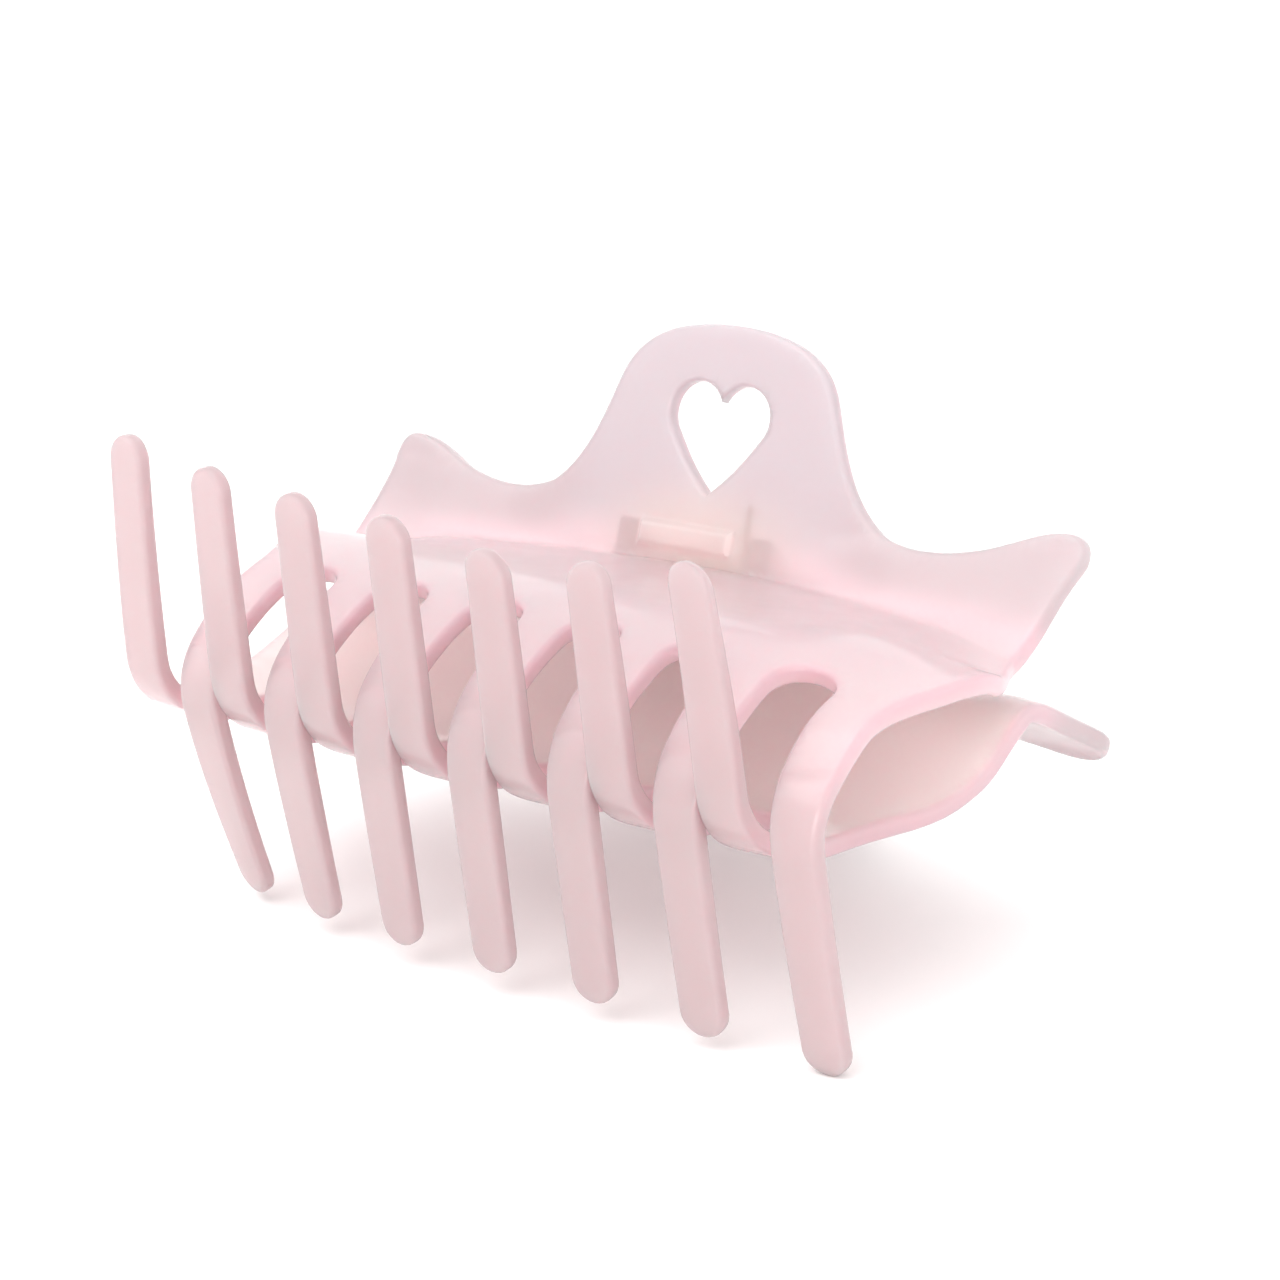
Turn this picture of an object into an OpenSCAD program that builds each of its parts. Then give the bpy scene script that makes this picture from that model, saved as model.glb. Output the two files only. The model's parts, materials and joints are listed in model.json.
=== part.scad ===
// Large claw hair clip: two comb-like jaws on a spring hinge, closed by the spring, teeth interlaced.
// Each jaw is one moulding, and the lower jaw is the upper one turned half a turn about the Y axis.
// Working frame: X along the hinge, +Y towards the handles, Z = 0 the plane between the jaws.

/* [Jaw sheet] */
// Thickness of the moulded sheet
sheet_t = 2.4; // [2:0.1:2.8]
// Largest half width, at the wing tips
half_span = 52.5; // [52:0.1:54]
// Distance of the fold between handle and comb from the hinge axis, towards the teeth
fold_y = 4.7; // [4.4:0.1:5.2]
// Height of the fold above the hinge axis
fold_z = 3.8; // [3.6:0.1:4.4]
// How far the two ends of the fold curve forward, towards the teeth
fold_bow = 8; // [0:0.5:9]

/* [Handle] */
// Angle of the handle above the middle plane
handle_angle = 66.8; // [62:0.2:70]
// Length of the thumb tab above the fold
tab_h = 31; // [26:0.5:32]
// Height at which the wings leave the fold's curve
wing_h = 8; // [7:0.5:9]
// How far the wing tips lean back
wing_sweep = 3.2; // [0:0.1:4]
// Reach of the right and the left wing tip
wing_reach = [51.9, 53.4]; // [51:0.1:54]
// Height of the heart's lower point
heart_h = 9.9; // [9.5:0.1:12]
// Radius of the heart's two lobes
heart_r = 3.9; // [3:0.1:4]
// Length, width and height of the rib over the hinge
rib = [14, 3.2, 0.8]; // [0.5:0.1:15]

/* [Comb] */
// Teeth on each jaw
teeth = 7; // [7:1:7]
// Spacing of the teeth
pitch = 14.5; // [14.2:0.1:14.6]
// Angle at which the comb rises from the fold
comb_rise = 13.4; // [10:0.2:14]
// Length of the comb's flat part
comb_flat = 23; // [22:0.5:25]
// How much further forward the middle of the comb reaches than its ends
comb_bow = 0.8; // [0:0.1:2]
// Radius and angle of the shoulder
shoulder = [26.6, 51.7]; // [20:0.1:55]
// Radius and angle of the knuckle of each tooth
bend = [8.6, 52.2]; // [6:0.1:60]
// Length of the straight end of a tooth
tooth_end = 24.6; // [23:0.1:26]
// How much lower the teeth at the ends reach than the middle tooth
end_drop = 3.4; // [0:0.1:4]
// Tooth width at the root, where the jaws cross, and at the tip
tooth_w = [6.7, 5.5, 5]; // [4:0.1:7]
// Distance of the middle tooth from the clip's middle plane
tooth_offset = 4.2; // [3.8:0.1:4.2]
// How far the tips of the left and the right end teeth curl back
tooth_curl = [4.6, 2.3]; // [0:0.1:5]

/* [Hinge] */
// Radius of the hinge pin
pin_r = 1; // [0.8:0.05:1.2]
// Running clearance of the pin in its bores
pin_gap = 0.05; // [0.02:0.01:0.08]
// Outer radius of the knuckles
knuckle_r = 3.2; // [2.8:0.1:3.4]
// Inner and outer ends of the inner knuckle, then of the outer one
knuckle_x = [6.8, 10.1, 10.4, 13.6]; // [6:0.1:14]
// Radius and thickness of the pin's two heads
pin_head = [1.8, 0.7]; // [0.5:0.1:2]
// Wire diameter of the spring
wire_d = 1.1; // [0.9:0.1:1.2]
// Mean radius of the spring's coil
coil_r = 3.2; // [2.6:0.1:3.3]
// Close turns in the coil
coil_turns = 11; // [8:1:11]
// Length of the spring's legs
leg_l = 11; // [8:0.5:12]

/* [Hidden] */
$fn = 96;
eps = 0.01;
far = 60;
fold_drop = 0.5;
fold_fade = 22;
columns = 18;
gap_y = -39.8;
front_y = -43.5;
front_z = 8.2;
cross_z = -2;

// Headings along the comb, 0 pointing at -Y and 90 pointing down, at each change of curve
head_1 = -comb_rise;
head_2 = head_1 + shoulder[1];
head_3 = head_2 + bend[1];
bend_s = comb_flat + shoulder[0] * shoulder[1] * PI / 180;
end_s = bend_s + bend[0] * bend[1] * PI / 180;
tip_s = end_s + tooth_end;
function ahead(heading, step) = step * [-cos(heading), -sin(heading)];
function turned(r, from, to) = r * [sin(from) - sin(to), cos(to) - cos(from)];
function comb_at(s) =
    s <= comb_flat ? ahead(head_1, s)
    : s <= bend_s ? comb_at(comb_flat)
        + turned(shoulder[0], head_1, head_1 + (s - comb_flat) / (bend_s - comb_flat) * shoulder[1])
    : s <= end_s ? comb_at(bend_s)
        + turned(bend[0], head_2, head_2 + (s - bend_s) / (end_s - bend_s) * bend[1])
    : comb_at(end_s) + ahead(head_3, s - end_s);
tooth_tip = [-fold_y, fold_z] + comb_at(tip_s);
rows = concat(
    [-tab_h - 3, -wing_h, 0, 5, 10, 15, 19],
    [for (i = [0 : 8]) comb_flat + i / 8 * (bend_s - comb_flat)],
    [for (i = [1 : 6]) bend_s + i / 6 * (end_s - bend_s)],
    [for (i = [1 : 3]) end_s + i / 3 * (tooth_end + end_drop + 1)]);

// The closed clip stands on the lower jaw's tab and the upper jaw's last tooth
tab_foot = [-fold_y + tab_h * cos(handle_angle) - sheet_t / 2 * sin(handle_angle),
            -fold_z - tab_h * sin(handle_angle) - sheet_t / 2 * cos(handle_angle)];
tooth_foot = [tooth_tip[0] - sheet_t / 2 + tooth_curl[1], tooth_tip[1] - end_drop * ends(tooth_x(teeth - 1))];
rest_tilt = atan2(tooth_foot[1] - tab_foot[1], tab_foot[0] - tooth_foot[0]);
rest_lift = -tab_foot[1] * cos(rest_tilt) - tab_foot[0] * sin(rest_tilt);
rest_shift = 22.925;

// Middle surface of the sheet at x, where s runs from the fold: handle below 0, comb above
function ends(x) = pow(x / half_span, 2);
function ease(t) = let (c = min(max(t, 0), 1)) c * c * (3 - 2 * c);
function mid(x, s) = s <= 0
    ? let (h = -s, up = min(h / wing_h, 1))
      [-fold_y + h * cos(handle_angle) + ends(x) * (wing_sweep * up - fold_bow * (1 - up)),
       fold_z + h * sin(handle_angle) - ends(x) * fold_drop * (1 - up)]
    : let (away = ends(x) * (1 - ease(s / fold_fade)),
           c = comb_at(s) + ahead(head_1, comb_bow * (1 - ends(x)) * ease(s / fold_fade)))
      [c[0] - fold_y - fold_bow * away + curl(x, s), c[1] + fold_z - fold_drop * away];
// How far back the curl of the end teeth carries a point
function curl(x, s) =
    let (far_out = x < 0 ? tooth_curl[0] * pow(max(x, -44) / 40, 2) : tooth_curl[1] * pow(min(x, 48) / 48, 2))
    far_out * pow(max(s - end_s + 4, 0) / (tooth_end + 4), 1.5);
function unit(v) = v / norm(v);
function along(x, s, step) = unit(mid(x, s + step) - mid(x, s));
// Direction across the sheet, towards its outer face, long enough to keep the thickness at the fold
function across(x, s) = s == 0
    ? let (sum = along(x, 0, -0.1) + along(x, 0, 0.1), half = norm(sum) / 2)
      unit(sum) / sqrt(1 - half * half)
    : let (t = s < 0 ? along(x, s, -0.1) : along(x, s, 0.1)) s < 0 ? [-t[1], t[0]] : [t[1], -t[0]];
function skin(x, s, side) =
    let (p = mid(x, s) + side * sheet_t / 2 * across(x, s)) [x, p[0], p[1]];

// Closed sheet over a grid of stations along the jaw and along the fold
module sheet() {
    xs = [for (i = [0 : columns]) (2 * i / columns - 1) * (half_span + 2)];
    n = len(rows);
    points = [for (side = [1, -1]) for (x = xs) for (s = rows) skin(x, s, side)];
    top = n * (columns + 1);
    function at(i, j, side) = side * top + i * n + j;
    cells = [for (i = [0 : columns - 1]) for (j = [0 : n - 2]) [i, j]];
    faces = concat(
        [for (c = cells) [at(c[0], c[1], 0), at(c[0] + 1, c[1], 0), at(c[0] + 1, c[1] + 1, 0)]],
        [for (c = cells) [at(c[0], c[1], 0), at(c[0] + 1, c[1] + 1, 0), at(c[0], c[1] + 1, 0)]],
        [for (c = cells) [at(c[0], c[1], 1), at(c[0] + 1, c[1] + 1, 1), at(c[0] + 1, c[1], 1)]],
        [for (c = cells) [at(c[0], c[1], 1), at(c[0], c[1] + 1, 1), at(c[0] + 1, c[1] + 1, 1)]],
        [for (i = [0 : columns - 1]) [at(i, 0, 0), at(i, 0, 1), at(i + 1, 0, 1)]],
        [for (i = [0 : columns - 1]) [at(i, 0, 0), at(i + 1, 0, 1), at(i + 1, 0, 0)]],
        [for (i = [0 : columns - 1]) [at(i, n - 1, 0), at(i + 1, n - 1, 1), at(i, n - 1, 1)]],
        [for (i = [0 : columns - 1]) [at(i, n - 1, 0), at(i + 1, n - 1, 0), at(i + 1, n - 1, 1)]],
        [for (j = [0 : n - 2]) [at(0, j, 0), at(0, j + 1, 0), at(0, j + 1, 1)]],
        [for (j = [0 : n - 2]) [at(0, j, 0), at(0, j + 1, 1), at(0, j, 1)]],
        [for (j = [0 : n - 2]) [at(columns, j, 0), at(columns, j + 1, 1), at(columns, j + 1, 0)]],
        [for (j = [0 : n - 2]) [at(columns, j, 0), at(columns, j, 1), at(columns, j + 1, 1)]]);
    polyhedron(points, faces, convexity = 6);
}

// Cubic curve through its first and last point
function curve(a, b, c, d, steps = 8) = [for (i = [0 : steps - 1])
    let (t = i / steps, u = 1 - t) u * u * u * a + 3 * u * u * t * b + 3 * u * t * t * c + t * t * t * d];

// Right half of the handle's outline for a wing of the given reach, from the tab's middle to the fold
function half_outline(reach) = concat(
    curve([0, tab_h], [9.5, tab_h], [14.5, tab_h - 2.8], [16.3, tab_h - 8]),
    curve([16.3, tab_h - 8], [17.9, 18.5], [19.6, 13.2], [23.4, 9.9]),
    curve([23.4, 9.9], [26, 7.4], [30, 6.9], [34, 7.3]),
    curve([34, 7.3], [40.5, 7.9], [reach - 7.5, 11.8], [reach - 2.9, 12]),
    curve([reach - 2.9, 12], [reach - 0.6, 12.1], [reach + 0.6, 10.4], [reach - 0.2, 8]),
    curve([reach - 0.2, 8], [reach - 0.8, 4.5], [reach - 0.8, 3], [reach - 0.8, 0], 4),
    [[reach - 0.8, -8]]);

module heart() {
    tip = [0, heart_h];
    lobe = [heart_r - 0.35, heart_h + 9.9];
    reach = norm(lobe - tip);
    lean = atan2(lobe[0], lobe[1] - tip[1]) + asin(heart_r / reach);
    side = sqrt(reach * reach - heart_r * heart_r);
    touch = tip + side * [sin(lean), cos(lean)];
    for (m = [-1, 1]) translate([m * lobe[0], lobe[1]]) circle(heart_r);
    polygon([tip, touch, lobe, [-lobe[0], lobe[1]], [-touch[0], touch[1]]]);
}

// Carries a drawing of the handle, X across and Y up from the fold, to the handle's plane
module on_handle() {
    translate([0, -fold_y, fold_z]) rotate([handle_angle, 0, 0]) children();
}

module around_handle() {
    right = half_outline(wing_reach[0]);
    mirrored = half_outline(wing_reach[1]);
    left = [for (i = [len(mirrored) - 1 : -1 : 1]) [-mirrored[i][0], mirrored[i][1]]];
    on_handle() translate([0, 0, -12]) linear_extrude(22) {
        difference() {
            translate([-far, -2.5]) square([2 * far, far]);
            polygon(concat(left, right));
        }
        heart();
    }
}

function tooth_x(i) = (i - (teeth - 1) / 2) * pitch + tooth_offset;

// Comb seen from above: what lies outside its sides, and the gaps with their round roots
module around_comb() {
    left = tooth_x(0) - tooth_w[0] / 2;
    right = tooth_x(teeth - 1) + tooth_w[0] / 2;
    fold_left = 0.8 - wing_reach[1];
    fold_right = wing_reach[0] - 0.8;
    translate([0, 0, -5]) linear_extrude(30) {
        difference() {
            translate([-far, front_y]) square([2 * far, -front_y - 8]);
            polygon(concat(
                curve([fold_left, 0], [fold_left, -14], [-51.4, -20], [-49.8, -25]),
                curve([-49.8, -25], [-48, -30], [left, -31], [left, -38]),
                [[left, front_y - 2], [right, front_y - 2]],
                curve([right, gap_y], [52.6, -33], [53.6, -26], [52.8, -20]),
                [[52.8, -20], [fold_right, -12], [fold_right, 0]]));
        }
        for (i = [0 : teeth - 2]) translate([tooth_x(i) + pitch / 2, 0]) {
            root_y = gap_y - 1.4 * ends(tooth_x(i) + pitch / 2);
            half_gap = (pitch - tooth_w[0]) / 2;
            translate([0, root_y]) circle(half_gap);
            translate([-half_gap, front_y]) square([2 * half_gap, root_y - front_y]);
        }
    }
}

// One tooth seen from the front, tapering to a round tip
module tooth_front(i) {
    round_z = tooth_tip[1] - end_drop * ends(tooth_x(i)) + tooth_w[2] / 2;
    polygon([[-tooth_w[0] / 2, 20], [-tooth_w[0] / 2, front_z], [-tooth_w[1] / 2, cross_z],
             [-tooth_w[2] / 2, round_z], [tooth_w[2] / 2, round_z],
             [tooth_w[1] / 2, cross_z], [tooth_w[0] / 2, front_z], [tooth_w[0] / 2, 20]]);
    translate([0, round_z]) circle(d = tooth_w[2]);
}

// Everything but the teeth, in front of their roots
module between_teeth() {
    translate([0, front_y, 0]) rotate([90, 0, 0]) linear_extrude(30) difference() {
        translate([-far, -far]) square([2 * far, far + 16]);
        for (i = [0 : teeth - 1]) translate([tooth_x(i), 0]) tooth_front(i);
    }
}

// Raised rib on the handle's outer face, over the hinge
module rib_bar() {
    on_handle() translate([-2 - rib[0] / 2, 2.6, sheet_t / 2 - 0.2])
        cube([rib[0], rib[1], rib[2] + 0.2]);
}

module along_x(from, to) {
    translate([from, 0, 0]) rotate([90, 0, 90]) linear_extrude(to - from) children();
}

// One barrel with its web up to the inside of the handle
module knuckle(from, to) {
    along_x(from, to) {
        circle(knuckle_r);
        polygon([[-knuckle_r, 0], [-fold_y - 0.3, fold_z], [-fold_y + 2.4, fold_z + 6], [knuckle_r, 0]]);
    }
}

module jaw() {
    difference() {
        union() {
            difference() {
                sheet();
                around_handle();
                around_comb();
                between_teeth();
            }
            rib_bar();
            knuckle(-knuckle_x[3], -knuckle_x[2]);
            knuckle(knuckle_x[0], knuckle_x[1]);
        }
        along_x(-far, far) circle(pin_r + pin_gap);
    }
}

module half_turn() {
    rotate([0, 180, 0]) children();
}

module in_place() {
    translate([0, rest_shift, rest_lift]) rotate([rest_tilt, 0, 0]) children();
}

module upper_jaw() {
    color("mistyrose") in_place() jaw();
}

module lower_jaw() {
    color("pink") in_place() half_turn() jaw();
}

module hinge_pin() {
    reach = knuckle_x[3] + 0.15;
    color("silver") in_place() {
        along_x(-reach, reach) circle(pin_r);
        for (m = [0, 1]) mirror([m, 0, 0]) along_x(reach - eps, reach + pin_head[1]) circle(pin_head[0]);
    }
}

// The coil as a sleeve of its outer size, and a leg lying inside each handle
module torsion_spring() {
    half = coil_turns * wire_d / 2;
    leg_d = wire_d - 0.08;
    leg_angle = handle_angle + 3.8;
    color("gainsboro") in_place() {
        along_x(-half, half) difference() {
            circle(coil_r + wire_d / 2);
            circle(coil_r - wire_d / 2);
        }
        for (m = [0, 180]) rotate([0, m, 0])
            translate([half - wire_d / 2, 0, 0]) rotate([leg_angle, 0, 0]) translate([0, 0, coil_r])
                rotate([-90, 0, 0]) cylinder(d = leg_d, h = leg_l);
    }
}

upper_jaw();
lower_jaw();
hinge_pin();
torsion_spring();
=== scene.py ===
"""Claw hair clip: two translucent jaws on a steel pin, closed by a torsion spring.

The object is in metres, in the same frame as the CAD. Shapes are worked out in mm about the hinge axis,
and to_row moves them into place.
"""
import bmesh
import bpy
import json
import math
import numpy as np
from mathutils import Matrix, Vector
from mathutils.geometry import delaunay_2d_cdt
from mathutils.kdtree import KDTree


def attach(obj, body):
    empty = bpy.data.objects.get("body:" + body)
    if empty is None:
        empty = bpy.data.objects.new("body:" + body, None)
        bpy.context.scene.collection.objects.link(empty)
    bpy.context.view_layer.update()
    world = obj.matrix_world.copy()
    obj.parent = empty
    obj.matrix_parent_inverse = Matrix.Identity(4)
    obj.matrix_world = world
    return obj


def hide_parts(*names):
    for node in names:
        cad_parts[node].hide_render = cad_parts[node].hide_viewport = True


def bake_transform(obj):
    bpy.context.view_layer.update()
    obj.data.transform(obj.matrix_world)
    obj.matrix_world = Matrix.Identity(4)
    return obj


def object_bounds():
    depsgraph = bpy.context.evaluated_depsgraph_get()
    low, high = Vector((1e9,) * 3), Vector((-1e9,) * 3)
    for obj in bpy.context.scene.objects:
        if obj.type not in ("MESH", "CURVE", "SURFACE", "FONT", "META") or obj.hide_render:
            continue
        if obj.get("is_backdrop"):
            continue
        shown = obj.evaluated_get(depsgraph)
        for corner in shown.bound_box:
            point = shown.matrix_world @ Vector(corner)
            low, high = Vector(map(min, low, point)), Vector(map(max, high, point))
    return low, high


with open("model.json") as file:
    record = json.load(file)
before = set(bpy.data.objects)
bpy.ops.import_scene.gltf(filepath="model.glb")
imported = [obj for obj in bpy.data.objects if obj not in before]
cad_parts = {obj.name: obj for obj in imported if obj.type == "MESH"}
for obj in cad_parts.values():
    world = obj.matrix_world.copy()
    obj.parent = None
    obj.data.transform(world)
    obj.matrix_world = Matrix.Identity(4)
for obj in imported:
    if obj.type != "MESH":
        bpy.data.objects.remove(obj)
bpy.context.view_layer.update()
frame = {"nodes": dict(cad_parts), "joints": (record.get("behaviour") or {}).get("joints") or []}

# ---------------------------------------------------------------- the clip's own sizes, in mm
SHEET = 2.4                                     # the moulded sheet's thickness
TIP_THIN = 0.16                                 # less half thickness at a tooth's tip
EDGE = 0.72                                     # radius of the rounded edges
FOLD_Y, FOLD_Z = 4.7, 3.8                       # the fold between handle and comb, from the pin
FOLD_BOW, FOLD_DROP, FOLD_FADE = 8.0, 0.5, 22.0 # its ends lie forward and down, which fades along the comb
HANDLE = math.radians(66.8)                     # the handle's lean
TAB_H, WING_H, WING_SWEEP = 31.0, 8.0, 3.2      # thumb tab, wings and the wings' sweep
WING = (51.9, 53.4)                             # reach of the right and left wing
HEART_H, HEART_R = 9.9, 3.9                     # the heart's point above the fold, and its lobes
HEART_LOBE, HEART_CLEFT, HEART_BULGE = 9.9, 0.35, 0.35
RISE, FLAT, COMB_BOW = math.radians(13.4), 23.0, 0.8
SHOULDER_R, SHOULDER_A = 26.6, math.radians(51.7)
BEND_R, BEND_A = 8.6, math.radians(52.2)
TOOTH_END, END_DROP = 24.6, 3.4                 # straight end of a tooth; the outer tips stand lower
CURL_LEFT, CURL_RIGHT = (4.6, 40, 44), (2.3, 48, 48)  # curl of the end teeth, full at x, no more past x
CURL_LEAD, CURL_POWER = 4, 1.5
TEETH, PITCH, OFFSET, LAST_OUT = 7, 14.5, 4.2, 0.6 # the last tooth stands further out
TOOTH_W = (7.0, 5.85, 5.7)                      # at the root, where the jaws cross, and at the tip
FRONT_Z, CROSS_Z = 8.2, -2.0                    # heights between which a tooth narrows
TIP_L, TIP_FLARE, TIP_POWER = 3.1, 0.03, 2.1    # a tooth's rounded tip
GAP_Y, GAP_BOW, ROOT_Y = -39.8, 1.4, -43.0      # the round roots of the gaps, and where a tooth's sides start
HALF_SPAN = 52.5
# a start and a length in each pair: where the comb's right end sags, across and along the sheet
SAG, SAG_X, SAG_IN, SAG_OUT = 2.4, (34, 18), (0, 13), (26, 16)
# the same for the fold's left end, which stands lower
LOW, LOW_X, LOW_COMB, LOW_HANDLE = 1.6, (36, 15), (0, 16), (0, 9)
# the rounding of the fold, of the wings' kink and of the fold's right end: reach, and width of its fading
ROUND_FOLD, ROUND_WING, ROUND_RIGHT, ROUND_RIGHT_X = (2.2, 4.5), (2.5, 4.0), (2.8, 6.0), (38, 13)
# the lower jaw's teeth: straighter at the tip, shorter, and the middle and width of where they are shorter
LOWER_STRAIGHT, LOWER_SHORT, LOWER_SHORT_X = 7.0, 2.6, (-16, 12)
RIB_X, RIB_H, RIB_UP, RIB_SOFT = (-9.0, 5.0), (2.6, 5.8), 0.75, (0.35, 1.0)  # bar on the outer face
KNUCKLE_R, BORE_R, KNUCKLE_EDGE, KNUCKLES = 3.2, 1.05, 0.45, ((6.8, 10.1), (-13.6, -10.4))
PIN_R, PIN_X, HEAD_R, HEAD_T = 1.0, 13.75, 1.8, 0.7
WIRE_R, COIL_R, COIL_X, COIL_TURNS, LEG_L = 0.52, 3.2, 5.5, 11, 11.0
LEG_LEAN = math.radians(3.8)

# how finely the skin is meshed, in mm
BORDER_STEP, HEART_STEP = 0.62, 0.55
RINGS = (0.03, 0.11, 0.23, 0.38, 0.55, 0.75)
COLUMN_STEP, STAGGER, ROW_FOLD, ROW_BEND, ROW_STEP = 1.45, 0.36, 0.62, 0.85, 1.35
GRID_CLEAR, DEEP = 1.55, 9.0                    # the grid's distance from the border, and what counts as deep
NEAR_FOLD, NEAR_BEND, NEAR_WING = 5, 2, 4       # rows are closer within this of a bend
RIB_STEP, RIB_CLEAR, RIB_REACH = (0.33, 0.3), 0.6, 0.9
RING_KEPT = 0.86                                # the least part of its inset that a ring point keeps
SLIVER = 0.002                                  # twice a triangle's area, in mm2
# where along the sheet to look for the comb's edge, a tooth's root and its tip
SEARCH_COMB, SEARCH_ROOT, SEARCH_TIP = (0.5, 52.0), (20.0, 52.0), (40.0, 95.0)

# the joint's axis, and how far the closed clip leans from the axes it is worked out in
AXIS = np.array(frame["joints"][0]["pos_m"], float) * 1000
TILT = math.radians(2.62722)
MM = 0.001

# headings down the comb's side view, and lengths along the sheet from the fold
HEAD_1, HEAD_2, HEAD_3 = -RISE, SHOULDER_A - RISE, SHOULDER_A + BEND_A - RISE
BEND_S = FLAT + SHOULDER_R * SHOULDER_A
END_S = BEND_S + BEND_R * BEND_A
TIP_S = END_S + TOOTH_END


# ---------------------------------------------------------------- the bent sheet
def ends(x):
    """0 in the middle of the clip, 1 at its ends."""
    return (x / HALF_SPAN) ** 2


def ease(t):
    c = np.clip(t, 0, 1)
    return c * c * (3 - 2 * c)


def rise(v, start, length):
    """0 up to start, then smoothly up to 1 over length."""
    return ease((v - start) / length)


def hump(v, width):
    """1 at 0, fading out smoothly on both sides."""
    return np.exp(-((v / width) ** 2))


def comb_at(s):
    """Side view of the comb, from the fold: straight, shoulder arc, bend arc, straight tooth."""
    a = np.clip(s, 0, FLAT)
    t = HEAD_1 + np.clip(s - FLAT, 0, BEND_S - FLAT) / SHOULDER_R
    u = HEAD_2 + np.clip(s - BEND_S, 0, END_S - BEND_S) / BEND_R
    e = np.maximum(s - END_S, 0)
    y = -a * math.cos(HEAD_1) + SHOULDER_R * (math.sin(HEAD_1) - np.sin(t)) \
        + BEND_R * (math.sin(HEAD_2) - np.sin(u)) - e * math.cos(HEAD_3)
    z = -a * math.sin(HEAD_1) + SHOULDER_R * (np.cos(t) - math.cos(HEAD_1)) \
        + BEND_R * (np.cos(u) - math.cos(HEAD_2)) - e * math.sin(HEAD_3)
    return y, z


def curl(x, s):
    """How far back the teeth near the comb's ends curl."""
    most, full, last = CURL_LEFT
    left = most * (np.maximum(x, -last) / full) ** 2
    most, full, last = CURL_RIGHT
    right = most * (np.minimum(x, last) / full) ** 2
    down = np.maximum(s - END_S + CURL_LEAD, 0) / (TOOTH_END + CURL_LEAD)
    return np.where(x < 0, left, right) * down ** CURL_POWER


def raw_mid(x, s):
    """Middle surface before the fold is rounded. s < 0 is the handle, s > 0 the comb."""
    e = ends(x)
    h = np.maximum(-s, 0)
    up = np.minimum(h / WING_H, 1)
    hy = -FOLD_Y + h * math.cos(HANDLE) + e * (WING_SWEEP * up - FOLD_BOW * (1 - up))
    hz = FOLD_Z + h * math.sin(HANDLE) - e * FOLD_DROP * (1 - up)
    sc = np.maximum(s, 0)
    away = e * (1 - ease(sc / FOLD_FADE))
    cy, cz = comb_at(sc)
    bow = COMB_BOW * (1 - e) * ease(sc / FOLD_FADE)
    cy = cy - FOLD_Y - FOLD_BOW * away - bow * math.cos(HEAD_1) + curl(x, sc)
    cz = cz + FOLD_Z - FOLD_DROP * away - bow * math.sin(HEAD_1)
    cz = cz - SAG * rise(x, *SAG_X) * rise(sc, *SAG_IN) * (1 - rise(sc, *SAG_OUT))
    low = LOW * rise(-x, *LOW_X)
    cz = cz - low * (1 - rise(sc, *LOW_COMB))
    hz = hz - low * (1 - rise(h, *LOW_HANDLE))
    comb = s > 0
    return np.where(comb, cy, hy), np.where(comb, cz, hz)


def mid(x, s):
    """Middle surface with the fold and the wings' kink rounded by averaging along s."""
    fold = ROUND_FOLD[0] * hump(s, ROUND_FOLD[1])
    kink = ROUND_WING[0] * hump(s + WING_H, ROUND_WING[1]) * ends(x)
    right = ROUND_RIGHT[0] * rise(x, *ROUND_RIGHT_X) * hump(s, ROUND_RIGHT[1])
    reach = fold + kink + right
    y = np.zeros_like(x)
    z = np.zeros_like(x)
    taps = np.linspace(-1, 1, 9)
    weights = 1 - np.abs(taps) * 0.9
    weights /= weights.sum()
    for t, w in zip(taps, weights):
        a, b = raw_mid(x, s + t * reach)
        y += w * a
        z += w * b
    return y, z


def on_sheet(x, s, off):
    """3-D points off mm from the middle surface, towards its outer face, about the hinge axis."""
    d = 0.05
    y, z = mid(x, s)
    ys, zs = mid(x, s + d)
    ys2, zs2 = mid(x, s - d)
    yx, zx = mid(x + d, s)
    yx2, zx2 = mid(x - d, s)
    du = np.stack([np.full_like(x, 2 * d), yx - yx2, zx - zx2], 1)
    dv = np.stack([np.zeros_like(x), ys - ys2, zs - zs2], 1)
    n = np.cross(dv, du)
    n /= np.linalg.norm(n, axis=1)[:, None]
    return np.stack([x, y, z], 1) + n * off[:, None]


# ---------------------------------------------------------------- the flat outline: x across, s down
def bezier(a, b, c, d, n=10):
    t = np.linspace(0, 1, n, endpoint=False)[:, None]
    a, b, c, d = (np.array(v, float) for v in (a, b, c, d))
    return (1 - t) ** 3 * a + 3 * (1 - t) ** 2 * t * b + 3 * (1 - t) * t * t * c + t ** 3 * d


def handle_edge(reach):
    """Half of the handle's edge, as drawn on its plane: tab, flank, dip, wing, its tip, the fold's end."""
    p = [bezier((0, TAB_H), (9.5, TAB_H), (14.5, TAB_H - 2.8), (16.3, TAB_H - 8), 20),
         bezier((16.3, TAB_H - 8), (17.9, 18.5), (19.6, 13.2), (23.4, 9.9), 20),
         bezier((23.4, 9.9), (26, 7.4), (30, 6.9), (34, 7.3), 16),
         bezier((34, 7.3), (40.5, 7.9), (reach - 7.5, 11.8), (reach - 2.9, 12), 18),
         bezier((reach - 2.9, 12), (reach - 0.4, 12.1), (reach + 0.8, 10.2), (reach - 0.2, 7.6), 14),
         bezier((reach - 0.2, 7.6), (reach - 0.8, 5.2), (reach - 0.8, 3), (reach - 0.8, -4.0), 14)]
    return np.concatenate(p)


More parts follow.
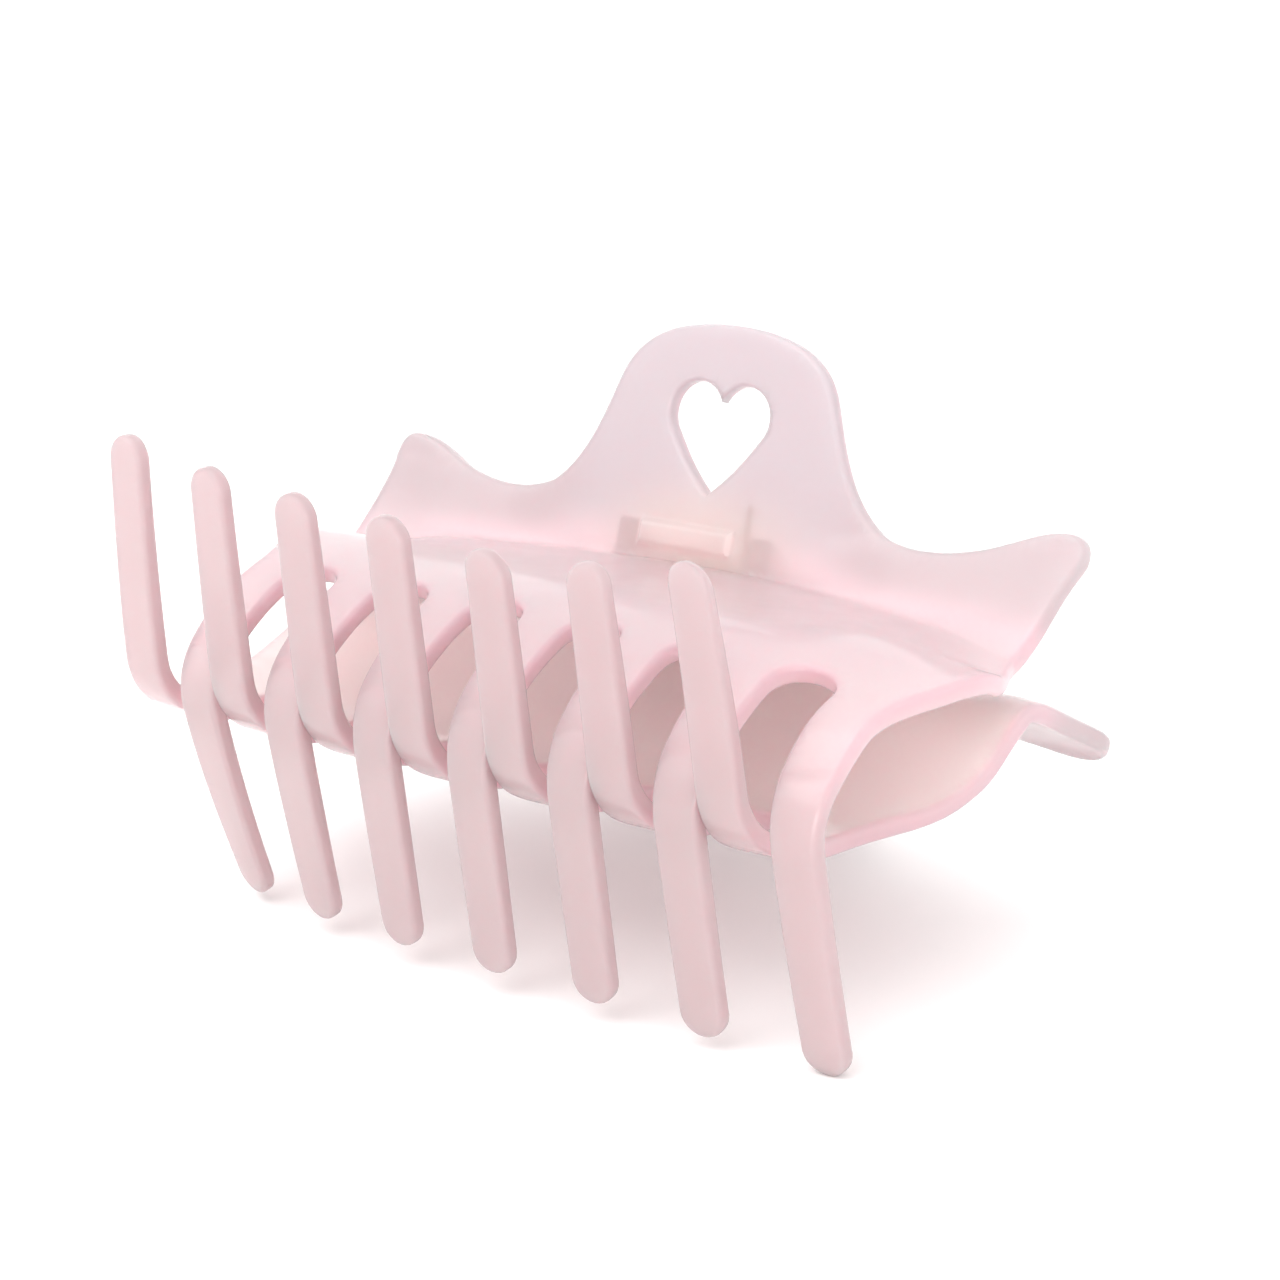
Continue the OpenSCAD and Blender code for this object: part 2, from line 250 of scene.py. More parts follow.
def handle_to_sheet(p):
    """Drawn height on the handle's plane to length along the bowed sheet."""
    x, hp = p[:, 0], p[:, 1]
    h = hp.copy()
    e = ends(x)
    for _ in range(60):
        up = np.clip(h / WING_H, 0, 1)
        sweep = (WING_SWEEP * up - FOLD_BOW * (1 - up)) * math.cos(HANDLE)
        shift = e * (sweep - FOLD_DROP * (1 - up) * math.sin(HANDLE))
        h = 0.6 * h + 0.4 * (hp - shift)
    return np.stack([x, -h], 1)


def solve_s(x, want, axis, search):
    """Length along the sheet at which its middle is at a given y (axis 0) or z (axis 1)."""
    a = np.full_like(x, search[0])
    b = np.full_like(x, search[1])
    for _ in range(40):
        m = (a + b) / 2
        low = mid(x, m)[axis] > want
        a = np.where(low, m, a)
        b = np.where(low, b, m)
    return (a + b) / 2


def plan_to_sheet(p):
    """The comb's outline is drawn as seen from above, in x and y."""
    return np.stack([p[:, 0], solve_s(p[:, 0], p[:, 1], 0, SEARCH_COMB)], 1)


def tooth_x(i):
    """Middle of a tooth, from left to right. The last one stands a little further out."""
    return (i - (TEETH - 1) / 2) * PITCH + OFFSET + (LAST_OUT if i == TEETH - 1 else 0)


def half_width(z, tip_z):
    root, cross, tip = TOOTH_W
    k = np.clip((FRONT_Z - z) / (FRONT_Z - CROSS_Z), 0, 1)
    low = np.clip((CROSS_Z - z) / (CROSS_Z - tip_z), 0, 1)
    return (root + (cross - root) * ease(k) + (tip - cross) * low) / 2


def tooth_side(i, side, n=46):
    """One edge of a tooth from its root to where the round tip starts, then the tip's half."""
    xc = tooth_x(i)
    tip_z = comb_at(np.array(TIP_S))[1] + FOLD_Z - END_DROP * ends(xc)
    s0 = float(solve_s(np.array([xc]), np.array([ROOT_Y]), 0, SEARCH_ROOT)[0])
    s1 = float(solve_s(np.array([xc]), np.array([tip_z]), 1, SEARCH_TIP)[0])
    s = np.linspace(s0, s1 - TIP_L, n)
    z = mid(np.full(n, xc), s)[1]
    bar = np.stack([xc + side * half_width(z, tip_z), s], 1)
    t = np.linspace(0, 1, 14)[1:]
    t = np.sin(t * math.pi / 2)
    w = (TOOTH_W[2] / 2 + TIP_FLARE) * np.sqrt(np.clip(1 - t ** TIP_POWER, 0, 1))
    tip = np.stack([xc + side * w, s1 - TIP_L + TIP_L * t], 1)
    return np.concatenate([bar, tip[:-1] if side < 0 else tip])


def gap_root(i):
    """Round root between tooth i and the next one, from right to left."""
    xg = (tooth_x(i) + tooth_x(i + 1)) / 2
    r = (tooth_x(i + 1) - tooth_x(i) - TOOTH_W[0]) / 2
    cy = GAP_Y - GAP_BOW * ends(xg)
    a = np.linspace(0, math.pi, 25)
    p = np.stack([xg + r * np.cos(a), cy + r * np.sin(a)], 1)
    return plan_to_sheet(p)


def outer_loop():
    """The outline: the handle's right half, the comb's right side, the teeth, and back on the left."""
    right = handle_to_sheet(handle_edge(WING[0]))
    left = handle_to_sheet(handle_edge(WING[1]))[::-1] * np.array([-1, 1])
    xr, xl = WING[0] - 0.8, 0.8 - WING[1]
    last = tooth_x(TEETH - 1) + TOOTH_W[0] / 2
    first = tooth_x(0) - TOOTH_W[0] / 2
    side_r = [bezier((xr, -14), (xr + 0.3, -15.5), (xr + 1.7, -18), (xr + 2.4, -22)),
              bezier((xr + 2.4, -22), (xr + 3.3, -27), (xr + 2.2, -35), (last, -42))]
    side_l = [bezier((first, -39), (first, -31.5), (-47.8, -30.5), (-49.8, -25)),
              bezier((-49.8, -25), (-51.2, -21), (xl, -17), (xl, -14))]
    right = right[right[:, 1] < 0.3]
    left = left[left[:, 1] < 0.3][:-1]
    loop = [right, plan_to_sheet(np.concatenate(side_r))]
    for i in range(TEETH - 1, -1, -1):
        loop += [tooth_side(i, 1), tooth_side(i, -1)[::-1]]
        if i:
            loop.append(gap_root(i - 1))
    loop += [plan_to_sheet(np.concatenate(side_l)), left]
    return np.concatenate(loop)


def heart_loop():
    """Two straight sides that bulge a little, tangent to two round lobes."""
    tip = np.array([0.0, HEART_H])
    lobe = np.array([HEART_R - HEART_CLEFT, HEART_H + HEART_LOBE])
    reach = np.linalg.norm(lobe - tip)
    lean = math.atan2(lobe[0], lobe[1] - tip[1]) + math.asin(HEART_R / reach)
    side = math.sqrt(reach ** 2 - HEART_R ** 2)
    touch = tip + side * np.array([math.sin(lean), math.cos(lean)])
    line = tip + (touch - tip) * np.linspace(0, 1, 18, endpoint=False)[:, None]
    bulge = np.sin(np.linspace(0, math.pi, 18, endpoint=False)) * HEART_BULGE
    line += bulge[:, None] * np.array([math.cos(lean), -math.sin(lean)])
    a0 = math.atan2(touch[1] - lobe[1], touch[0] - lobe[0])
    a1 = math.pi - math.acos(lobe[0] / HEART_R)
    a = np.linspace(a0, a1, 26)
    arc = lobe + HEART_R * np.stack([np.cos(a), np.sin(a)], 1)
    half = np.concatenate([line, arc])
    other = half[::-1][1:-1] * np.array([-1, 1])
    p = np.concatenate([half, other])
    return np.stack([p[:, 0], -p[:, 1]], 1)


# ---------------------------------------------------------------- the outline filled and given thickness
def resample(loop, step):
    """Even spacing round a closed loop."""
    p = np.concatenate([loop, loop[:1]])
    seg = np.linalg.norm(np.diff(p, axis=0), axis=1)
    p = p[np.concatenate([[True], seg > 1e-6])]
    d = np.concatenate([[0], np.cumsum(np.linalg.norm(np.diff(p, axis=0), axis=1))])
    n = int(d[-1] / step)
    t = np.arange(n) * d[-1] / n
    return np.stack([np.interp(t, d, p[:, 0]), np.interp(t, d, p[:, 1])], 1)


def inset(loop, amount, inward):
    t = np.roll(loop, -1, 0) - np.roll(loop, 1, 0)
    t /= np.linalg.norm(t, axis=1)[:, None] + 1e-12
    n = np.stack([-t[:, 1], t[:, 0]], 1) * inward
    return loop + n * amount


def anticlockwise(loop):
    nxt = np.roll(loop, -1, 0)
    area = 0.5 * float(np.sum(loop[:, 0] * nxt[:, 1] - nxt[:, 0] * loop[:, 1]))
    return loop[::-1] if area < 0 else loop


def inside(points, loop):
    """Even-odd test of many points against one loop."""
    x, y = points[:, 0], points[:, 1]
    hit = np.zeros(len(points), bool)
    for (x1, y1), (x2, y2) in zip(loop, np.roll(loop, -1, 0)):
        if y1 == y2:
            continue
        crosses = (y1 > y) != (y2 > y)
        hit ^= crosses & (x < (x2 - x1) * (y - y1) / (y2 - y1) + x1)
    return hit


def near_rib(p, margin):
    return ((p[:, 0] > RIB_X[0] - margin) & (p[:, 0] < RIB_X[1] + margin)
            & (-p[:, 1] > RIB_H[0] - margin) & (-p[:, 1] < RIB_H[1] + margin))


def rib_height(x, s):
    """The low bar on the handle's outer face, over the hinge: a soft-edged bump of the skin itself."""
    gap = np.minimum(np.minimum(x - RIB_X[0], RIB_X[1] - x), np.minimum(-s - RIB_H[0], RIB_H[1] + s))
    return RIB_UP * ease((gap + RIB_SOFT[0]) / RIB_SOFT[1])


def depth_test(loops):
    """A function that gives points' distances from the border."""
    fine = []
    for loop in loops:
        nxt = np.roll(loop, -1, 0)
        for k in range(4):
            fine.append(loop + (nxt - loop) * k / 4)
    fine = np.concatenate(fine)
    tree = KDTree(len(fine))
    for k, p in enumerate(fine):
        tree.insert((p[0], p[1], 0), k)
    tree.balance()
    return lambda points: np.array([tree.find((p[0], p[1], 0))[2] for p in points])


def ring_points(outer, heart, depth):
    """Rings just inside the border, where the rounded edge needs them, with their distances from it."""
    rings, far = [], []
    for r in RINGS:
        for loop, way in ((outer, 1), (heart, -1)):
            c = inset(loop, r, way)
            if r == RINGS[-1]:
                c = c[::2]
            d = depth(c)
            ok = d > r * RING_KEPT
            rings.append(c[ok])
            far.append(np.minimum(d[ok], r))
    return np.concatenate(rings), np.concatenate(far)


def grid_points(outer, heart, depth):
    """Staggered rows over the rest of the sheet, closer together where it bends and on the rib."""
    rows = []
    s = -TAB_H - 1
    while s < TIP_S + 6:
        rows.append(s)
        bends = BEND_S - NEAR_BEND < s < END_S + NEAR_BEND or abs(s + WING_H) < NEAR_WING
        s += ROW_FOLD if abs(s) < NEAR_FOLD else ROW_BEND if bends else ROW_STEP
    xs = np.arange(-56, 56, COLUMN_STEP)
    grid = np.array([(x + (STAGGER if j % 2 else -STAGGER), s) for j, s in enumerate(rows) for x in xs])
    grid = grid[~near_rib(grid, RIB_CLEAR)]
    rib = np.array([(x, s) for s in np.arange(-RIB_H[1] - 1.2, -RIB_H[0] + 1.2, RIB_STEP[1])
                    for x in np.arange(RIB_X[0] - 1.5, RIB_X[1] + 1.5, RIB_STEP[0])])
    grid = np.concatenate([grid, rib[near_rib(rib, RIB_REACH)]])
    grid = grid[inside(grid, outer) & ~inside(grid, heart)]
    return grid[depth(grid) > GRID_CLEAR]


def closed_edges(first, count):
    return [(first + i, first + (i + 1) % count) for i in range(count)]


def jaw_mesh():
    """One jaw as a closed skin with rounded edges, about the hinge axis, in mm.

    Also each point's place on the flat outline, and its distance from the border.
    """
    outer = anticlockwise(resample(outer_loop(), BORDER_STEP))
    heart = anticlockwise(resample(heart_loop(), HEART_STEP))
    border = np.concatenate([outer, heart])
    depth = depth_test((outer, heart))
    rings, ring_far = ring_points(outer, heart, depth)
    grid = grid_points(outer, heart, depth)
    points = np.concatenate([border, rings, grid])
    dist = np.concatenate([np.zeros(len(border)), ring_far, np.full(len(grid), DEEP)])
    edges = closed_edges(0, len(outer)) + closed_edges(len(outer), len(heart))
    out = delaunay_2d_cdt([Vector((float(x), float(y))) for x, y in points], edges, [], 0, 1e-5, True)
    flat = np.array([tuple(v) for v in out[0]])
    assert len(flat) == len(points), (len(flat), len(points))
    order = np.array([source[0] for source in out[3]])
    dist = dist[order]
    tri = np.array([f for f in out[2] if len(f) == 3])
    middles = flat[tri].mean(1)
    tri = tri[inside(middles, outer) & ~inside(middles, heart)]
    a, b, c = flat[tri[:, 0]], flat[tri[:, 1]], flat[tri[:, 2]]
    turn = (b[:, 0] - a[:, 0]) * (c[:, 1] - a[:, 1]) - (b[:, 1] - a[:, 1]) * (c[:, 0] - a[:, 0])
    tri[turn < 0] = tri[turn < 0][:, ::-1]
    # a sliver between three points of the border lies just outside the outline
    tri = tri[~((dist[tri] == 0).all(1) & (np.abs(turn) < SLIVER))]

    # half thickness: full inside, a round edge near the border, thinner towards the tooth tips
    x, s = flat[:, 0], flat[:, 1]
    full = SHEET / 2 - TIP_THIN * ease((s - END_S) / TOOTH_END)
    t = np.clip(dist / EDGE, 0, 1)
    half = full - EDGE + EDGE * np.sqrt(np.clip(1 - (1 - t) ** 2, 0, 1))
    top = on_sheet(x, s, half + rib_height(x, s))
    low = on_sheet(x, s, -half)
    n = len(flat)
    # with s running down the page the triangles' turn is reversed on the outer face
    faces = [tuple(int(v) for v in f[::-1]) for f in tri] + [tuple(int(v) + n for v in f) for f in tri]
    place = {int(o): k for k, o in enumerate(order)}
    for k, (i, j) in enumerate(edges):
        i, j = (place[i], place[j]) if k < len(outer) else (place[j], place[i])
        faces.append((i, j, j + n, i + n))
    return np.concatenate([top, low]), faces, np.concatenate([flat, flat]), np.concatenate([dist, dist])


# ---------------------------------------------------------------- solid pieces made one by one
def new_object(name, verts, faces):
    mesh = bpy.data.meshes.new(name)
    mesh.from_pydata([tuple(v) for v in verts], [], faces)
    mesh.validate()
    mesh.update()
    obj = bpy.data.objects.new(name, mesh)
    bpy.context.scene.collection.objects.link(obj)
    mesh.polygons.foreach_set("use_smooth", [True] * len(mesh.polygons))
    return obj


def skin(rings, closed):
    """Skin over rings of equal point counts, closed from the last to the first or by a face at each end."""
    count = len(rings)
    n = len(rings[0])
    faces = []
    for k in range(count if closed else count - 1):
        nxt = (k + 1) % count
        for i in range(n):
            j = (i + 1) % n
            faces.append((k * n + i, k * n + j, nxt * n + j, nxt * n + i))
    if not closed:
        faces.append(tuple(range(n))[::-1])
        faces.append(tuple(range((count - 1) * n, count * n)))
    return np.concatenate(rings), faces


def grown(p, amount):
    """A convex closed outline moved outwards (or inwards when negative) along its normals."""
    t = np.roll(p, -1, 0) - np.roll(p, 1, 0)
    t /= np.linalg.norm(t, axis=1)[:, None]
    return p + np.stack([t[:, 1], -t[:, 0]], 1) * amount


# a knuckle's web, up from the barrel to the sheet and down again, in (y, z) about the pin
WEB = ((3.2, 0.0), (2.6, 2.2), (1.2, 4.6), (-0.6, 7.4), (-2.4, 9.8),
       (-4.4, 5.6), (-5.2, 3.4), (-4.3, 1.6), (-3.2, 0.0))


def knuckle_outline():
    """Round the barrel and up its web to the sheet, anticlockwise."""
    web = np.array(WEB)
    knots = np.linspace(0, 1, len(web))
    t = np.linspace(0, 1, 34)
    side = np.stack([np.interp(t, knots, web[:, 0]), np.interp(t, knots, web[:, 1])], 1)
    for _ in range(3):
        side[1:-1] = (side[:-2] + 2 * side[1:-1] + side[2:]) / 4
    a = np.linspace(math.pi, 2 * math.pi, 30)[1:-1]
    under = KNUCKLE_R * np.stack([np.cos(a), np.sin(a)], 1)
    return np.concatenate([side, under])


def knuckle(x0, x1):
    """One knuckle plate with rounded rims and the pin's bore, as a closed skin."""
    outline = knuckle_outline()
    steps = np.linspace(0, math.pi / 2, 5)
    rims = [(x0 + KNUCKLE_EDGE * (1 - math.cos(a)), a) for a in steps]
    rims += [(x1 - KNUCKLE_EDGE * (1 - math.cos(a)), a) for a in steps[::-1]]
    around = np.arctan2(outline[:, 1], outline[:, 0])
    bore = BORE_R * np.stack([np.cos(around), np.sin(around)], 1)
    plates = [(x, grown(outline, -KNUCKLE_EDGE * (1 - math.sin(a)))) for x, a in rims]
    plates = [(x0, bore)] + plates + [(x1, bore)]
    return skin([np.column_stack([np.full(len(p), x), p]) for x, p in plates], True)


def lower_teeth(local, flat):
    """The lower jaw's own left-hand teeth stand straighter than the upper jaw's, and two are shorter."""
    x, s = flat[:, 0], flat[:, 1]
    full, last = CURL_LEFT[1:]
    left = (np.clip(-x, 0, last) / full) ** 2
    down = np.clip((s - END_S + CURL_LEAD) / (TOOTH_END + CURL_LEAD), 0, None)
    moved = local.copy()
    moved[:, 1] -= LOWER_STRAIGHT * left * down ** CURL_POWER
    moved[:, 2] += LOWER_SHORT * hump(x - LOWER_SHORT_X[0], LOWER_SHORT_X[1]) * down
    return moved


def to_row(local, lower=False):
    """Mm about the hinge to metres in the CAD's frame. The lower jaw is turned half round y."""
    p = local * np.array([-1, 1, -1]) if lower else local
    c, s = math.cos(TILT), math.sin(TILT)
    out = np.stack([p[:, 0], p[:, 1] * c - p[:, 2] * s, p[:, 1] * s + p[:, 2] * c], 1)
    return (out + AXIS) * MM


def set_edges(obj, degrees):
    """Smooth shading, kept sharp only across edges steeper than this."""
    mesh = obj.data
    mesh.polygons.foreach_set("use_smooth", [True] * len(mesh.polygons))
    bm = bmesh.new()
    bm.from_mesh(mesh)
    for e in bm.edges:
        e.smooth = len(e.link_faces) == 2 and e.calc_face_angle(0) < math.radians(degrees)
    bm.to_mesh(mesh)
    bm.free()


def facing_out(obj):
    bm = bmesh.new()
    bm.from_mesh(obj.data)
    bmesh.ops.recalc_face_normals(bm, faces=bm.faces)
    bm.to_mesh(obj.data)
    bm.free()


def union(obj, others):
    """obj with the other solids joined into one closed skin."""
    for other in others:
        mod = obj.modifiers.new("union", "BOOLEAN")
        mod.operation = "UNION"
        mod.solver = "EXACT"
        mod.object = other
        bpy.context.view_layer.update()
        mesh = bpy.data.meshes.new_from_object(obj.evaluated_get(bpy.context.evaluated_depsgraph_get()))
        obj.modifiers.clear()
        old = obj.data
        obj.data = mesh
        bpy.data.meshes.remove(old)
    for other in others:
        bpy.data.objects.remove(other)


JAW_VERTS, JAW_FACES, JAW_FLAT, JAW_DEPTH = jaw_mesh()
LOWER_VERTS = lower_teeth(JAW_VERTS, JAW_FLAT)


def build_jaw(name, lower):
    obj = new_object(name, to_row(LOWER_VERTS if lower else JAW_VERTS, lower), JAW_FACES)
    knobs = []
    for k, (x0, x1) in enumerate(KNUCKLES):
        verts, faces = knuckle(x0, x1)
        knob = new_object(f"{name}_k{k}", to_row(verts, lower), faces)
        facing_out(knob)
        knobs.append(knob)
    union(obj, knobs)
    obj.data.name = name
    set_edges(obj, 38)
    return obj


upper = build_jaw("upper_jaw_shell", False)
lower = build_jaw("lower_jaw_shell", True)


# ---------------------------------------------------------------- the pin and the spring
def turned(profile, count=40):
    """A lathe form along x from (x, radius) pairs; the two ends close on the axis."""
    a = np.linspace(0, 2 * math.pi, count, endpoint=False)
    rings = [np.column_stack([np.full(count, x), r * np.cos(a), r * np.sin(a)]) for x, r in profile]
    return skin(rings, False)


def pin_profile():
    """A domed head at each end, with a flat inner side and a slightly broken rim."""
    inner_x, outer_x = PIN_X, PIN_X + HEAD_T
    dome = [(outer_x - HEAD_T * (1 - math.sqrt(1 - min(r / HEAD_R, 1) ** 2 * 0.96)), r)
            for r in np.linspace(0.12, 1, 9) * HEAD_R]
    rim = [(inner_x + 0.1, HEAD_R), (inner_x, HEAD_R - 0.12),
           (inner_x, PIN_R + 0.02), (inner_x - 0.15, PIN_R)]
    half = dome + rim
    return [(-x, r) for x, r in half] + [(x, r) for x, r in half[::-1]]


verts, faces = turned(pin_profile())
pin = new_object("hinge_pin_turned", to_row(verts), faces)
facing_out(pin)
set_edges(pin, 40)


def wire(path, radius, count=14):
    """A round wire swept along a path of points, with rounded-over ends, without twisting."""
    tan = np.gradient(path, axis=0)
    tan /= np.linalg.norm(tan, axis=1)[:, None]
    side = np.cross(tan[0], (1.0, 0.1, 0.2))
    side /= np.linalg.norm(side)
    rings = []
    a = np.linspace(0, 2 * math.pi, count, endpoint=False)
    for p, t in zip(path, tan):
        side = side - t * (side @ t)
        side /= np.linalg.norm(side)
        up = np.cross(t, side)
        rings.append(p + radius * (np.cos(a)[:, None] * side + np.sin(a)[:, None] * up))
    caps = ((0.9, 0.45), (0.5, 0.86))
    first, last = path[0], path[-1]
    start = [first - tan[0] * radius * 0.5 * out + (rings[0] - first) * wide for out, wide in caps]
    end = [last + tan[-1] * radius * 0.5 * out + (rings[-1] - last) * wide for out, wide in caps[::-1]]
    return skin(start + rings + end, False)


def spring_path():
    """Leg, close coil, leg. The legs lie along the inner faces of the two handles."""
    leave = HANDLE + LEG_LEAN + math.pi / 2
    total = 2 * math.pi * COIL_TURNS - 2 * leave
    t = np.linspace(0, 1, COIL_TURNS * 34)
    ang = -leave - total * t
    coil = np.stack([COIL_X * (2 * t - 1), COIL_R * np.cos(ang), COIL_R * np.sin(ang)], 1)
    steps = np.linspace(0.4, LEG_L, 14)[:, None]
    low = coil[0] - steps * np.array([0, math.sin(ang[0]), -math.cos(ang[0])])
    up = coil[-1] + steps * np.array([0, math.sin(ang[-1]), -math.cos(ang[-1])])
    return np.concatenate([low[::-1], coil, up])


verts, faces = wire(spring_path(), WIRE_R)
spring = new_object("torsion_spring_wire", to_row(verts), faces)
facing_out(spring)


# ---------------------------------------------------------------- painted light and shade carried by the jaws' points
KNUCKLE_CLEAR = 1.2 * MM      # a point further than this from the sheet's skin belongs to a knuckle


def carry_paint(obj, lower):
    """Fields from 0 to 1 that the plastic's colour follows.

    depth is 0 at an edge and 1 a millimetre in, inside is the skin towards the hair, tab and wings are the
    handle, tips are the teeth and middle is the part over the hinge. They carry painted light and shade:
    darker, pinker rims, a lighter inside, a darker handle, wings and tooth tips, and a beige over the hinge
    for the spring seen through the sheet.
    """
    sheet = to_row(LOWER_VERTS if lower else JAW_VERTS, lower)
    tree = KDTree(len(sheet))
    for k, p in enumerate(sheet):
        tree.insert(p, k)
    tree.balance()
    found = [tree.find(v.co) for v in obj.data.vertices]
    near = np.array([f[1] for f in found])
    on_knuckle = np.array([f[2] for f in found]) > KNUCKLE_CLEAR
    inner_skin = near >= len(JAW_FLAT) // 2
    x, s = JAW_FLAT[near, 0], JAW_FLAT[near, 1]
    fields = {
        # painted shade: rims darker and pinker, standing in for light seen edge-on through the sheet
        "depth": np.clip(JAW_DEPTH[near] / 1.1, 0, 1),
        # painted shade: the handle greyed and darkened where it faces the lamps, less on its inner skin and
        # not on the knuckles
        "tab": np.where(on_knuckle, 0.0, ease(-s / 8.5)) * np.where(inner_skin, 0.6, 1.0),
        # painted shade: the wings darkened where they catch more light
        "wings": ease(-s / 5) * rise(np.abs(x), 14, 14),
        # painted light: the skin towards the hair, and partly the knuckles, lightened to stand in for light
        # carried into the clip's inside
        "inside": np.where(on_knuckle, 0.4, np.where(inner_skin, rise(s, -4, 8), 0.0)),
        # painted shade: the teeth darker and warmer towards their tips, for how the light falls on them
        "tips": rise(s, END_S - 18, 22),
        # painted light: a warm beige over the hinge, standing in for the steel spring seen through the
        # plastic
        "middle": np.exp(-((x / 15) ** 2) - ((s + 4) / 7) ** 2),
    }
    for name, value in fields.items():
        a = obj.data.attributes.new(name, "FLOAT", "POINT")
        a.data.foreach_set("value", value.astype(np.float32))


carry_paint(upper, False)
carry_paint(lower, True)


# ---------------------------------------------------------------- materials
BODY, CLOUD = (0.80, 0.585, 0.62), (0.80, 0.61, 0.635)
# painted light: a lighter colour for the inner skin, standing in for light carried into the clip's inside
INNER_PAINTED_LIGHT = (0.98, 0.81, 0.785)
# a painted field, how much of the tint shows where it is 0 and where it is 1, and the tint; each row paints
# light or shade
LIGHT_AND_SHADE_TINTS = (
    # painted shade: rims darker and pinker, standing in for light seen edge-on through the sheet
    ("depth", 0.8, 0.0, (0.84, 0.48, 0.54)),
    # painted shade: the handle greyed and darkened where it faces the lamps
    ("tab", 0.0, 0.85, (0.49, 0.49, 0.51)),
    # painted shade: the wings darkened where they catch more light
    ("wings", 0.0, 0.8, (0.525, 0.455, 0.465)),
    # painted shade: the teeth darker and warmer towards their tips, for how the light falls on them
    ("tips", 0.0, 0.8, (0.505, 0.41, 0.412)),
    # painted light: a warm beige over the hinge, standing in for the steel spring seen through the plastic
    ("middle", 0.0, 0.5, (0.80, 0.64, 0.58)),
)


def material(name):
    m = bpy.data.materials.new(name)
    m.use_nodes = True
    return m, m.node_tree, m.node_tree.nodes["Principled BSDF"]


def set_inputs(node, **values):
    """Set a node's sockets by name, with _ for a space."""
    for name, value in values.items():
        node.inputs[name.replace("_", " ")].default_value = value


def mix_colour(tree, factor, a, b):
    """Colour a where the factor is 0 and b where it is 1. a and b are colours or sockets."""
    mix = tree.nodes.new("ShaderNodeMix")
    mix.data_type = "RGBA"
    tree.links.new(factor, mix.inputs["Factor"])
    for key, value in ((6, a), (7, b)):
        if isinstance(value, tuple):
            mix.inputs[key].default_value = (*value, 1)
        else:
            tree.links.new(value, mix.inputs[key])
    return mix.outputs[2]


def attribute(tree, name):
    a = tree.nodes.new("ShaderNodeAttribute")
    a.attribute_name = name
    return a.outputs["Fac"]


def ramp(tree, source, low, high, to_low=0.0, to_high=1.0):
    r = tree.nodes.new("ShaderNodeMapRange")
    r.interpolation_type = "SMOOTHSTEP"
    set_inputs(r, From_Min=low, From_Max=high, To_Min=to_low, To_Max=to_high)
    tree.links.new(source, r.inputs["Value"])
    return r.outputs["Result"]


def noise(tree, scale, detail):
    coord = tree.nodes.new("ShaderNodeTexCoord")
    n = tree.nodes.new("ShaderNodeTexNoise")
    set_inputs(n, Scale=scale, Detail=detail)
    tree.links.new(coord.outputs["Object"], n.inputs["Vector"])
    return n.outputs["Fac"]


def patches(tree, scale, detail, to_low=0.0, to_high=1.0):
    """Soft random patches between two values."""
    return ramp(tree, noise(tree, scale, detail), 0.3, 0.7, to_low, to_high)


def jelly_plastic():
    """Milky pink moulded plastic: a glossy coat over a soft skin, with light carried through the sheet. Its
    base colour also carries the painted light and shade of the jaws' painted fields.
    """
    m, tree, bsdf = material("jelly_plastic")
    base = mix_colour(tree, patches(tree, 38, 2), BODY, CLOUD)
    # painted light: the inner skin lightened
    base = mix_colour(tree, attribute(tree, "inside"), base, INNER_PAINTED_LIGHT)
    # painted light and shade: rims, handle, wings, tooth tips and the hinge tinted in turn
    for field, at_0, at_1, tint in LIGHT_AND_SHADE_TINTS:
        base = mix_colour(tree, ramp(tree, attribute(tree, field), 0, 1, at_0, at_1), base, tint)
    tree.links.new(base, bsdf.inputs["Base Color"])
    tree.links.new(patches(tree, 160, 3, 0.42, 0.50), bsdf.inputs["Roughness"])
    set_inputs(bsdf, IOR=1.4, Transmission_Weight=0.46, Coat_Weight=0.6, Coat_Roughness=0.06,
               Subsurface_Weight=0.8, Subsurface_Radius=(1.0, 0.55, 0.6), Subsurface_Scale=0.012)
    bump = tree.nodes.new("ShaderNodeBump")
    set_inputs(bump, Strength=0.05, Distance=0.0006)
    tree.links.new(noise(tree, 60, 1), bump.inputs["Height"])
    tree.links.new(bump.outputs["Normal"], bsdf.inputs["Normal"])
    return m


def steel(name, dark, light, smooth, rough, scale):
    m, tree, bsdf = material(name)
    tree.links.new(mix_colour(tree, patches(tree, scale, 4), dark, light), bsdf.inputs["Base Color"])
    tree.links.new(patches(tree, scale * 3, 3, smooth, rough), bsdf.inputs["Roughness"])
    set_inputs(bsdf, Metallic=1.0)
    return m


jelly = jelly_plastic()
pin_metal = steel("pin_steel", (0.62, 0.60, 0.57), (0.72, 0.70, 0.67), 0.22, 0.34, 400)
spring_metal = steel("spring_steel", (0.60, 0.47, 0.33), (0.72, 0.58, 0.42), 0.26, 0.38, 500)

for obj, stands_for, body, slot, mat in (
        (upper, "upper_jaw", "upper_jaw_body", "jelly_plastic", jelly),
        (lower, "lower_jaw", "lower_jaw_body", "jelly_plastic", jelly),
        (pin, "hinge_pin", "lower_jaw_body", "pin_steel", pin_metal)):
    obj.data.materials.append(mat)
    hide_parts(stands_for)
    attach(obj, body)

spring.data.materials.append(spring_metal)
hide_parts("torsion_spring")
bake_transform(spring)

# the hidden CAD nodes get the same finishes
for name, mat in (("torsion_spring", spring_metal), ("hinge_pin", pin_metal),
                  ("upper_jaw", jelly), ("lower_jaw", jelly)):
    node = frame["nodes"][name]
    node.data.materials.clear()
    node.data.materials.append(mat)


# ---------------------------------------------------------------- floor, light, camera
FLOOR_HALF = 3.0
FLOOR_WHITE = (0.97, 0.967, 0.963, 1)
WORLD = 1.3
